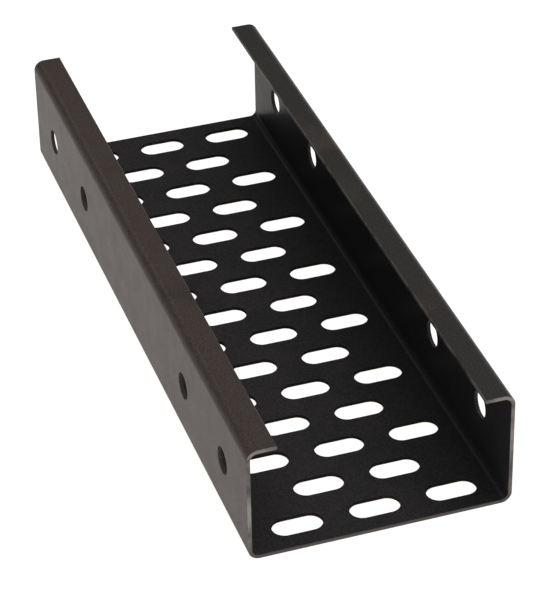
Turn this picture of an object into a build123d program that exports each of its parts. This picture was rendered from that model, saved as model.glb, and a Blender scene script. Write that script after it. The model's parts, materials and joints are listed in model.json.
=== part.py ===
from build123d import *
import os

# Perforated cable tray with inward return lips, folded from one blank of sheet steel.
# Length runs along Y, width along X, height along Z. The underside of the floor is Z = 0.

# Driving dimensions, in millimetres
tray_length = 305.0
tray_width = 105.0
tray_height = 50.0
sheet_thickness = 1.6
bend_radius_outside = 4.5
lip_width = 12.0

# Floor perforation: rows of cross slots, three and two to a row by turns
slot_length = 20.0
slot_width = 10.0
slot_pitch_across = 31.0
slot_row_pitch = 20.0
slot_rows = 15
slots_in_wide_row = 3
slot_field_offset = 1.8

# Bolt holes in the side walls, in a pair near each end
wall_hole_diameter = 11.0
wall_hole_height = tray_height / 2
wall_hole_end_distance = 30.0
wall_hole_spacing = 50.0

# Worked out from the driving dimensions
bend_radius_inside = bend_radius_outside - sheet_thickness
mouth_width = tray_width - 2 * lip_width
wide_rows = (slot_rows + 1) // 2
narrow_rows = slot_rows // 2
slots_in_narrow_row = slots_in_wide_row - 1
alternate_row_pitch = 2 * slot_row_pitch
wall_hole_pair_centre = tray_length / 2 - wall_hole_end_distance - wall_hole_spacing / 2

os.makedirs("parts", exist_ok=True)


def tray_section():
    """Closed section of the folded sheet: floor, two walls and two return lips."""
    with BuildSketch(Plane.XZ) as section:
        with Locations((0, tray_height / 2)):
            RectangleRounded(tray_width, tray_height, bend_radius_outside)
            RectangleRounded(
                tray_width - 2 * sheet_thickness,
                tray_height - 2 * sheet_thickness,
                bend_radius_inside,
                mode=Mode.SUBTRACT,
            )
        # The mouth between the lips is open along the whole tray
        with Locations((0, tray_height)):
            Rectangle(mouth_width, 4 * sheet_thickness, mode=Mode.SUBTRACT)
    return section.sketch


def floor_slots():
    """All the floor slots, on the underside of the tray."""
    with BuildSketch(Plane.XY) as slots:
        with Locations((slot_field_offset, 0)):
            with GridLocations(slot_pitch_across, alternate_row_pitch, slots_in_wide_row, wide_rows):
                SlotOverall(slot_length, slot_width)
            with GridLocations(slot_pitch_across, alternate_row_pitch, slots_in_narrow_row, narrow_rows):
                SlotOverall(slot_length, slot_width)
    return slots.sketch


def wall_holes():
    """Round holes along one wall, drawn on the plane through the middle of the tray."""
    with BuildSketch(Plane.YZ) as holes:
        for end in (-1, 1):
            with Locations((end * wall_hole_pair_centre, wall_hole_height)):
                with GridLocations(wall_hole_spacing, 0, 2, 1):
                    Circle(wall_hole_diameter / 2)
    return holes.sketch


with BuildPart() as tray_channel:
    extrude(tray_section(), amount=tray_length / 2, both=True)
    extrude(floor_slots(), amount=sheet_thickness, mode=Mode.SUBTRACT)
    # One pass across the tray makes the matching holes in both walls
    extrude(wall_holes(), amount=tray_width / 2, both=True, mode=Mode.SUBTRACT)

tray_channel.part.label = "tray_channel"
export_step(tray_channel.part, "parts/tray_channel.step")
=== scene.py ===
import json
import math

import bmesh
import bpy
from mathutils import Matrix, Vector


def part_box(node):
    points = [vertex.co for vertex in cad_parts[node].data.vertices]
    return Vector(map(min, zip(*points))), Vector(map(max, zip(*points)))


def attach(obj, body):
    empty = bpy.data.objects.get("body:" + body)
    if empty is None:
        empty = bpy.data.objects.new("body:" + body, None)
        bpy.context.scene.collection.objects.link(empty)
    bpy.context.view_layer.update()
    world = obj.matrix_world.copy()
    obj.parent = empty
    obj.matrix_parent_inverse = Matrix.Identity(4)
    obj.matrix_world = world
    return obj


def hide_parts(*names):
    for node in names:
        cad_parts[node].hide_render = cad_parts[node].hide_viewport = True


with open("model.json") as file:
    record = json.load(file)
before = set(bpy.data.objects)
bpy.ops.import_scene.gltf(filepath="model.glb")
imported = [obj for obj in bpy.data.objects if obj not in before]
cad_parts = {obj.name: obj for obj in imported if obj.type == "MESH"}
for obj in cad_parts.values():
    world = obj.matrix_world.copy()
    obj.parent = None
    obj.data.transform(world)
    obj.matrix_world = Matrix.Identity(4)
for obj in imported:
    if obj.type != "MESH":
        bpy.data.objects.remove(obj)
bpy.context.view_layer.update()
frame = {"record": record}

MM = 0.001

# ---------------------------------------------------------------- the tray, from the frame
low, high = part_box("tray_channel")
WIDTH = high.x - low.x
LENGTH = high.y - low.y
HEIGHT = high.z - low.z
THICKNESS = 1.6 * MM
BEND_OUTSIDE = 4.5 * MM
LIP = 12.0 * MM
EDGE_ROUND = 0.28 * MM

mounts = {m["name"]: m for m in frame["record"]["mounts"]}
wall_bolts = mounts["left_wall_bolts_front"]
end_slots = mounts["floor_slots_end_rows"]
HOLE_RADIUS = wall_bolts["dims"]["hole_r_mm"] * MM
HOLE_HEIGHT = wall_bolts["pos_m"][2]
HOLE_SPACING = wall_bolts["dims"]["spacing_x_mm"] * MM
HOLE_PAIR_CENTRE = abs(wall_bolts["pos_m"][1])
SLOT_RADIUS = end_slots["dims"]["hole_r_mm"] * MM
SLOT_LENGTH = end_slots["dims"]["slot_length_mm"] * MM
SLOT_FIELD_X = end_slots["pos_m"][0]
SLOT_PITCH = end_slots["dims"]["spacing_x_mm"] * MM / 2
SLOT_ROWS = 15
SLOT_ROW_PITCH = end_slots["dims"]["spacing_y_mm"] * MM / (SLOT_ROWS - 1)

# Lengths along the middle of the sheet, from the middle of the floor outwards
BEND_MIDDLE = BEND_OUTSIDE - THICKNESS / 2
BEND_ARC = BEND_MIDDLE * math.pi / 2
FLOOR_HALF = WIDTH / 2 - BEND_OUTSIDE
WALL_FLAT = HEIGHT - 2 * BEND_OUTSIDE
LIP_FLAT = LIP - BEND_OUTSIDE
BLANK_HALF = FLOOR_HALF + 2 * BEND_ARC + WALL_FLAT + LIP_FLAT

CIRCLE_STEPS = 64
SLOT_END_STEPS = 32
BEND_STEPS = 20
EDGE_STEPS = 3

# How near points count as the same point, in metres
CUT_REACH = 1e-7
MERGE_BLANK = 1e-6
MERGE_CUTS = 5e-6


# ---------------------------------------------------------------- the flat blank
def add_outline(curve, points):
    """Add one closed outline to the curve."""
    spline = curve.splines.new("POLY")
    spline.points.add(len(points) - 1)
    for point, (u, v) in zip(spline.points, points):
        point.co = (u, v, 0, 1)
    spline.use_cyclic_u = True


def arc(u, v, radius, start, turn, steps):
    """Points along an arc about (u, v), both ends included."""
    angles = [start + turn * i / steps for i in range(steps + 1)]
    return [(u + radius * math.cos(a), v + radius * math.sin(a)) for a in angles]


def slot_outline(u, v):
    half = SLOT_LENGTH / 2 - SLOT_RADIUS
    right = arc(u + half, v, SLOT_RADIUS, -math.pi / 2, math.pi, SLOT_END_STEPS)
    left = arc(u - half, v, SLOT_RADIUS, math.pi / 2, math.pi, SLOT_END_STEPS)
    return right + left


def slot_places():
    """The floor slots' middles on the blank: three and two to a row by turns."""
    for row in range(SLOT_ROWS):
        v = (row - (SLOT_ROWS - 1) / 2) * SLOT_ROW_PITCH
        columns = (-1, 0, 1) if row % 2 == 0 else (-0.5, 0.5)
        for column in columns:
            yield SLOT_FIELD_X + column * SLOT_PITCH, v


def hole_places():
    """The wall holes' middles on the blank."""
    u = FLOOR_HALF + BEND_ARC + HOLE_HEIGHT - BEND_OUTSIDE
    for side in (-1, 1):
        for end in (-1, 1):
            for step in (-0.5, 0.5):
                yield side * u, end * HOLE_PAIR_CENTRE + step * HOLE_SPACING


def flat_blank():
    """The punched sheet before folding, as a mesh with rounded edges."""
    curve = bpy.data.curves.new("blank", "CURVE")
    curve.dimensions = "2D"
    curve.fill_mode = "BOTH"
    u, v = BLANK_HALF, LENGTH / 2
    add_outline(curve, [(-u, -v), (u, -v), (u, v), (-u, v)])
    for u, v in slot_places():
        add_outline(curve, slot_outline(u, v))
    for u, v in hole_places():
        add_outline(curve, arc(u, v, HOLE_RADIUS, 0, math.tau, CIRCLE_STEPS)[:-1])
    curve.extrude = THICKNESS / 2 - EDGE_ROUND
    curve.bevel_depth = EDGE_ROUND
    curve.bevel_resolution = EDGE_STEPS
    curve.offset = -EDGE_ROUND
    holder = bpy.data.objects.new("blank", curve)
    bpy.context.scene.collection.objects.link(holder)
    bpy.context.view_layer.update()
    evaluated = holder.evaluated_get(bpy.context.evaluated_depsgraph_get())
    mesh = bpy.data.meshes.new_from_object(evaluated)
    bpy.data.objects.remove(holder)
    return mesh


# ---------------------------------------------------------------- folding
def fold(u, w):
    """Where a point of the blank goes: u across it, w above its middle surface."""
    side = -1 if u < 0 else 1
    s = abs(u)
    top = HEIGHT - BEND_OUTSIDE
    reach = WIDTH / 2 - BEND_OUTSIDE
    if s <= FLOOR_HALF:
        return side * s, THICKNESS / 2 + w
    s -= FLOOR_HALF
    radius = BEND_MIDDLE - w
    if s <= BEND_ARC:
        a = s / BEND_MIDDLE
        return side * (reach + radius * math.sin(a)), BEND_OUTSIDE - radius * math.cos(a)
    s -= BEND_ARC
    if s <= WALL_FLAT:
        return side * (reach + radius), BEND_OUTSIDE + s
    s -= WALL_FLAT
    if s <= BEND_ARC:
        a = s / BEND_MIDDLE
        return side * (reach + radius * math.cos(a)), top + radius * math.sin(a)
    s -= BEND_ARC
    return side * (reach - s), top + radius


def cut_across(bm, u):
    """Split the blank's faces along a line of constant u, so that it can bend there."""
    geometry = bm.verts[:] + bm.edges[:] + bm.faces[:]
    bmesh.ops.bisect_plane(
        bm, geom=geometry, dist=CUT_REACH, plane_co=(u, 0, 0), plane_no=(1, 0, 0)
    )


def folded_sheet():
    """The blank, cut finely where it bends, then folded into the tray."""
    mesh = flat_blank()
    bm = bmesh.new()
    bm.from_mesh(mesh)
    bmesh.ops.remove_doubles(bm, verts=bm.verts[:], dist=MERGE_BLANK)
    for bend_start in (FLOOR_HALF, FLOOR_HALF + BEND_ARC + WALL_FLAT):
        for step in range(BEND_STEPS + 1):
            u = bend_start + BEND_ARC * step / BEND_STEPS
            cut_across(bm, u)
            cut_across(bm, -u)
    bmesh.ops.remove_doubles(bm, verts=bm.verts[:], dist=MERGE_CUTS)
    for vert in bm.verts:
        u, v, w = vert.co
        x, z = fold(u, w)
        vert.co = (x, v, z)
    bmesh.ops.recalc_face_normals(bm, faces=bm.faces[:])
    bm.to_mesh(mesh)
    bm.free()
    for polygon in mesh.polygons:
        polygon.use_smooth = True
    return mesh


# ---------------------------------------------------------------- materials
class NodeTree:
    """Short calls for building one material's nodes."""

    def __init__(self, name):
        self.material = bpy.data.materials.new(name)
        self.material.use_nodes = True
        self.nodes = self.material.node_tree.nodes
        self.links = self.material.node_tree.links
        self.shader = self.nodes["Principled BSDF"]

    def connect(self, value, socket):
        if isinstance(value, bpy.types.NodeSocket):
            self.links.new(value, socket)
        else:
            socket.default_value = value

    def math(self, operation, *values):
        node = self.nodes.new("ShaderNodeMath")
        node.operation = operation
        for value, socket in zip(values, node.inputs):
            self.connect(value, socket)
        return node.outputs[0]

    def position(self):
        return self.nodes.new("ShaderNodeTexCoord").outputs["Object"]

    def axes(self, vector):
        node = self.nodes.new("ShaderNodeSeparateXYZ")
        self.connect(vector, node.inputs[0])
        return node.outputs

    def scaled(self, vector, factor):
        node = self.nodes.new("ShaderNodeVectorMath")
        node.operation = "SCALE"
        self.connect(vector, node.inputs[0])
        self.connect(factor, node.inputs["Scale"])
        return node.outputs[0]

    def noise(self, vector, size, detail):
        """Noise between 0 and 1, whose patches are about size metres across."""
        node = self.nodes.new("ShaderNodeTexNoise")
        self.connect(vector, node.inputs["Vector"])
        node.inputs["Scale"].default_value = 1 / size
        node.inputs["Detail"].default_value = detail
        return node.outputs[0]

    def steps(self, value, low, high, out_low=0.0, out_high=1.0):
        """A smooth step from out_low to out_high as value goes from low to high."""
        node = self.nodes.new("ShaderNodeMapRange")
        node.interpolation_type = "SMOOTHSTEP"
        for name, number in (("Value", value), ("From Min", low), ("From Max", high)):
            self.connect(number, node.inputs[name])
        node.inputs["To Min"].default_value = out_low
        node.inputs["To Max"].default_value = out_high
        return node.outputs[0]

    def mix_colour(self, share, first, second):
        node = self.nodes.new("ShaderNodeMix")
        node.data_type = "RGBA"
        self.connect(share, node.inputs["Factor"])
        self.connect(first, node.inputs["A"])
        self.connect(second, node.inputs["B"])
        return node.outputs["Result"]

    def mix_number(self, share, first, second):
        node = self.nodes.new("ShaderNodeMix")
        self.connect(share, node.inputs["Factor"])
        self.connect(first, node.inputs["A"])
        self.connect(second, node.inputs["B"])
        return node.outputs["Result"]

    def bump(self, height, distance, strength, normal=None):
        node = self.nodes.new("ShaderNodeBump")
        self.connect(height, node.inputs["Height"])
        node.inputs["Distance"].default_value = distance
        node.inputs["Strength"].default_value = strength
        if normal is not None:
            self.connect(normal, node.inputs["Normal"])
        return node.outputs[0]


# Tones of the coat. A band is the stretch of noise over which one look turns into another.
COAT_WARM = (0.067, 0.053, 0.048, 1)
COAT_COOL = (0.042, 0.039, 0.0355, 1)
# The inside colour and share below are painted shade: the coat is darkened on the sheet's faces
# inside the channel.
COAT_PAINTED_SHADE = (0.0226, 0.022, 0.0245, 1)
PAINTED_SHADE_SHARE = 0.8
INSIDE_X = WIDTH / 2 - 0.97 * THICKNESS
INSIDE_Z = 0.75 * THICKNESS
PATCH_SIZE = 28 * MM
# Painted light: the lean below makes the coat lighter and warmer towards the left wall, across the
# width.
PAINTED_LIGHT_LEAN = 0.4 / WIDTH
EVEN_BAND = (0.35, 0.65)
SPECKLE_SIZE = 0.65 * MM
SPECKLE_TONE = (0.78, 1.22)

# Wear on the lips' free edges, together with a painted highlight along them. A reach is how far in
# from the edge it goes.
WEAR_AND_GLINT_SIZE = 9 * MM
WEAR_AND_GLINT_BAND = (0.35, 0.6)
WEAR_AND_GLINT_REACH = (0.1 * MM, 0.55 * MM)
WORN_AND_GLINTING_EDGE = (0.125, 0.118, 0.108, 1)

# Bare steel on the sheared ends: dull along the floor, cleaner up the walls and on the lips
STEEL_DULL = (0.09, 0.083, 0.078, 1)
STEEL_CLEAN = (0.31, 0.285, 0.27, 1)
STEEL_METALLIC = 0.35
RAGGED_SIZE = 1.5 * MM
RAGGED_REACH = (0.05 * MM, 0.30 * MM)
SMEAR_SIZE = 14 * MM
DULL_HEIGHTS = (2 * MM, 9 * MM)
LIP_HEIGHTS = (HEIGHT - BEND_OUTSIDE, HEIGHT - THICKNESS)
CLEAN_AT_FLOOR = 0.05
CLEAN_AT_LIPS = 0.7

# How glossy the coat is, and its texture: soft waves like orange peel, and a fine grain
SPECULAR_LEVEL = 0.05
GLOSS_SIZE = 9 * MM
GLOSS_BAND = (0.3, 0.7)
GLOSS_ROUGHNESS = (0.325, 0.365)
PEEL_SIZE, PEEL_DEPTH, PEEL_STRENGTH = 1.2 * MM, 0.12 * MM, 0.7
GRAIN_SIZE, GRAIN_DEPTH, GRAIN_STRENGTH = 0.45 * MM, 0.04 * MM, 0.6


def painted_shade_inside(tree, x, z):
    """1 on the sheet's faces inside the channel, where painted shade darkens the coat, 0 elsewhere.
    """
    between = tree.math("LESS_THAN", tree.math("ABSOLUTE", x), INSIDE_X)
    above = tree.math("GREATER_THAN", z, INSIDE_Z)
    below = tree.math("LESS_THAN", z, HEIGHT - INSIDE_Z)
    return tree.math("MULTIPLY", between, tree.math("MULTIPLY", above, below))


def coat_colour(tree, place, x, z):
    """Patches of tone under a fine speckle; painted light makes the coat lighter and warmer towards
    the left wall, and painted shade darkens it inside the channel.
    """
    patches = tree.noise(place, PATCH_SIZE, detail=2)
    # Painted light: the tone leans lighter and warmer towards the left wall; the noise patches are
    # the coat's own random tone.
    tone = tree.math("MULTIPLY_ADD", x, PAINTED_LIGHT_LEAN, patches)
    coat = tree.mix_colour(tree.steps(tone, *EVEN_BAND), COAT_WARM, COAT_COOL)
    # Painted shade: the coat is darkened inside the channel.
    inside = tree.math("MULTIPLY", painted_shade_inside(tree, x, z), PAINTED_SHADE_SHARE)
    coat = tree.mix_colour(inside, coat, COAT_PAINTED_SHADE)
    grains = tree.noise(place, SPECKLE_SIZE, detail=1)
    return tree.scaled(coat, tree.steps(grains, *EVEN_BAND, *SPECKLE_TONE))


def lip_wear_and_glint(tree, place, x, z):
    """How far the coat is rubbed thin along the free edges of the lips, and how far a painted
    highlight runs along them.
    """
    free_edge = WIDTH / 2 - LIP
    from_edge = tree.math("SUBTRACT", tree.math("ABSOLUTE", x), free_edge)
    along = tree.steps(tree.noise(place, WEAR_AND_GLINT_SIZE, detail=3), *WEAR_AND_GLINT_BAND)
    near = tree.steps(from_edge, *WEAR_AND_GLINT_REACH, out_low=1, out_high=0)
    high_up = tree.math("GREATER_THAN", z, HEIGHT - 2 * THICKNESS)
    return tree.math("MULTIPLY", tree.math("MULTIPLY", near, high_up), along)


def cut_ends(tree, place, y):
    """Where the coat is missing: the two ends, sheared after coating."""
    end_distance = tree.math("SUBTRACT", LENGTH / 2, tree.math("ABSOLUTE", y))
    ragged = tree.noise(place, RAGGED_SIZE, detail=3)
    return tree.math("LESS_THAN", end_distance, tree.mix_number(ragged, *RAGGED_REACH))


def powder_coat():
    """Satin dark brown coat with a fine texture, worn on the lips and cut bare at the ends; painted
    light makes it lighter and warmer towards the left wall, painted shade darkens it inside the
    channel, and a painted highlight runs along the lips' free edges.
    """
    tree = NodeTree("powder_coat")
    place = tree.position()
    x, y, z = tree.axes(place)

    coat = coat_colour(tree, place, x, z)
    # The lips' free edges are made lighter: partly wear on the coat and partly a painted highlight.
    coat = tree.mix_colour(lip_wear_and_glint(tree, place, x, z), coat, WORN_AND_GLINTING_EDGE)
    bare = cut_ends(tree, place, y)
    smear = tree.steps(tree.noise(place, SMEAR_SIZE, detail=3), *EVEN_BAND)
    off_the_floor = tree.steps(z, *DULL_HEIGHTS, out_low=CLEAN_AT_FLOOR)
    on_the_lips = tree.steps(z, *LIP_HEIGHTS, out_high=CLEAN_AT_LIPS)
    clean = tree.math("MAXIMUM", tree.math("MULTIPLY", smear, off_the_floor), on_the_lips)
    steel = tree.mix_colour(clean, STEEL_DULL, STEEL_CLEAN)
    tree.connect(tree.mix_colour(bare, coat, steel), tree.shader.inputs["Base Color"])
    tree.connect(tree.math("MULTIPLY", bare, STEEL_METALLIC), tree.shader.inputs["Metallic"])
    tree.shader.inputs["Specular IOR Level"].default_value = SPECULAR_LEVEL

    gloss = tree.noise(place, GLOSS_SIZE, detail=4)
    roughness = tree.steps(gloss, *GLOSS_BAND, *GLOSS_ROUGHNESS)
    tree.connect(roughness, tree.shader.inputs["Roughness"])

    peel = tree.noise(place, PEEL_SIZE, detail=2)
    grain = tree.noise(place, GRAIN_SIZE, detail=1)
    soft = tree.bump(peel, PEEL_DEPTH, PEEL_STRENGTH)
    textured = tree.bump(grain, GRAIN_DEPTH, GRAIN_STRENGTH, soft)
    tree.connect(textured, tree.shader.inputs["Normal"])
    return tree.material


# ---------------------------------------------------------------- pieces
tray = bpy.data.objects.new("folded_tray", folded_sheet())
bpy.context.scene.collection.objects.link(tray)
weighted = tray.modifiers.new("even_shading", "WEIGHTED_NORMAL")
weighted.keep_sharp = True
weighted.weight = 100
tray.data.materials.append(powder_coat())
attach(tray, "root")
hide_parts("tray_channel")

# ---------------------------------------------------------------- stage
FLOOR_REACH = 8.0
FLOOR_GLOW = (0.98, 0.95, 0.93, 1)
FLOOR_TONE = (0.22, 0.22, 0.22, 1)
FLOOR_ROUGHNESS = 0.9
WHITE = (1, 1, 1, 1)
CARD_INSET = 5.0 * MM


def floor_paper():
    """Pale paper with a glow of its own, so that shadows on it stay faint."""
    tree = NodeTree("floor_paper")
    tree.shader.inputs["Base Color"].default_value = FLOOR_TONE
    tree.shader.inputs["Roughness"].default_value = FLOOR_ROUGHNESS
    tree.shader.inputs["Specular IOR Level"].default_value = 0.0
    tree.shader.inputs["Emission Color"].default_value = FLOOR_GLOW
    tree.shader.inputs["Emission Strength"].default_value = 1.0
    return tree.material


def stage_piece(name, verts, faces, material):
    mesh = bpy.data.meshes.new(name)
    mesh.from_pydata(verts, [], faces)
    piece = bpy.data.objects.new(name, mesh)
    piece.data.materials.append(material)
    bpy.context.scene.collection.objects.link(piece)
    return piece


def rectangle(half_x, half_y):
    corners = ((-1, -1), (1, -1), (1, 1), (-1, 1))
    return [(x * half_x, y * half_y, 0) for x, y in corners]


def pale_floor():
    """A wide floor, with a card under the tray that the slots show and the sheet doesn't mirror."""
    paper = floor_paper()
    under_tray = rectangle(WIDTH / 2 - CARD_INSET, LENGTH / 2 - CARD_INSET)
    wide = rectangle(FLOOR_REACH, FLOOR_REACH)
    ring = [(i, (i + 1) % 4, 4 + (i + 1) % 4, 4 + i) for i in range(4)]
    stage_piece("floor", wide + under_tray, ring, paper)
    card = stage_piece("floor_card", under_tray, [(0, 1, 2, 3)], paper)
    card.visible_glossy = False
    card.visible_diffuse = False


pale_floor()

# ---------------------------------------------------------------- camera
# Seen from the near end, a little to the left and from above. Distance in metres, lens in mm.
VIEW_AZIMUTH = math.radians(18.07)
VIEW_ELEVATION = math.radians(34.19)
VIEW_ROLL = math.radians(-1.08)
VIEW_DISTANCE = 1.1285
VIEW_TARGET = Vector((7.43, -10.26, 13.97)) * MM
VIEW_LENS = 166.7
SENSOR_WIDTH = 36
CLIP_START = 0.05
CLIP_END = 50


def add_camera():
    data = bpy.data.cameras.new("camera")
    data.sensor_width = SENSOR_WIDTH
    data.lens = VIEW_LENS
    data.clip_start = CLIP_START
    data.clip_end = CLIP_END
    camera = bpy.data.objects.new("camera", data)
    bpy.context.scene.collection.objects.link(camera)
    flat = math.cos(VIEW_ELEVATION)
    right = flat * math.sin(VIEW_AZIMUTH)
    ahead = flat * math.cos(VIEW_AZIMUTH)
    forward = Vector((right, ahead, -math.sin(VIEW_ELEVATION)))
    turn = forward.to_track_quat("-Z", "Y").to_matrix().to_4x4()
    place = Matrix.Translation(VIEW_TARGET - forward * VIEW_DISTANCE)
    camera.matrix_world = place @ turn @ Matrix.Rotation(VIEW_ROLL, 4, "Z")
    bpy.context.scene.camera = camera


add_camera()


# ---------------------------------------------------------------- light
# Each light's name, place, target, size, power and colour, in metres and watts
LIGHTS = (
    ("key", (0.45, 0.1, 1.5), (0, 0, 0), (2.0, 3.0), 27.5, (1, 1, 1)),
    ("fill", (-0.8, -1.5, 0.18), (0, 0, 0.02), (1.0, 0.3), 3.5, (1, 0.88, 0.80)),
    ("back", (-0.5, 1.8, 1.3), (0, 0, 0), (0.5, 0.5), 2.5, (1, 1, 1)),
)
WORLD_LIGHT = 0.09


def area_light(name, place, target, size, power, colour):
    data = bpy.data.lights.new(name, "AREA")
    data.color = colour
    data.shape = "RECTANGLE"
    data.size, data.size_y = size
    data.energy = power
    light = bpy.data.objects.new(name, data)
    bpy.context.scene.collection.objects.link(light)
    aim = (Vector(target) - Vector(place)).to_track_quat("-Z", "Y")
    light.matrix_world = Matrix.Translation(place) @ aim.to_matrix().to_4x4()


for light_settings in LIGHTS:
    area_light(*light_settings)


def studio_world():
    """A pale backdrop to look at, and a dim even light from it."""
    world = bpy.data.worlds.new("studio")
    world.use_nodes = True
    nodes = world.node_tree.nodes
    links = world.node_tree.links
    seen = nodes["Background"]
    seen.inputs["Color"].default_value = WHITE
    lit = nodes.new("ShaderNodeBackground")
    lit.inputs["Color"].default_value = WHITE
    lit.inputs["Strength"].default_value = WORLD_LIGHT
    mix = nodes.new("ShaderNodeMixShader")
    links.new(nodes.new("ShaderNodeLightPath").outputs["Is Camera Ray"], mix.inputs[0])
    links.new(lit.outputs[0], mix.inputs[1])
    links.new(seen.outputs[0], mix.inputs[2])
    links.new(mix.outputs[0], nodes["World Output"].inputs["Surface"])
    bpy.context.scene.world = world


studio_world()

bpy.context.scene.view_settings.view_transform = "Standard"
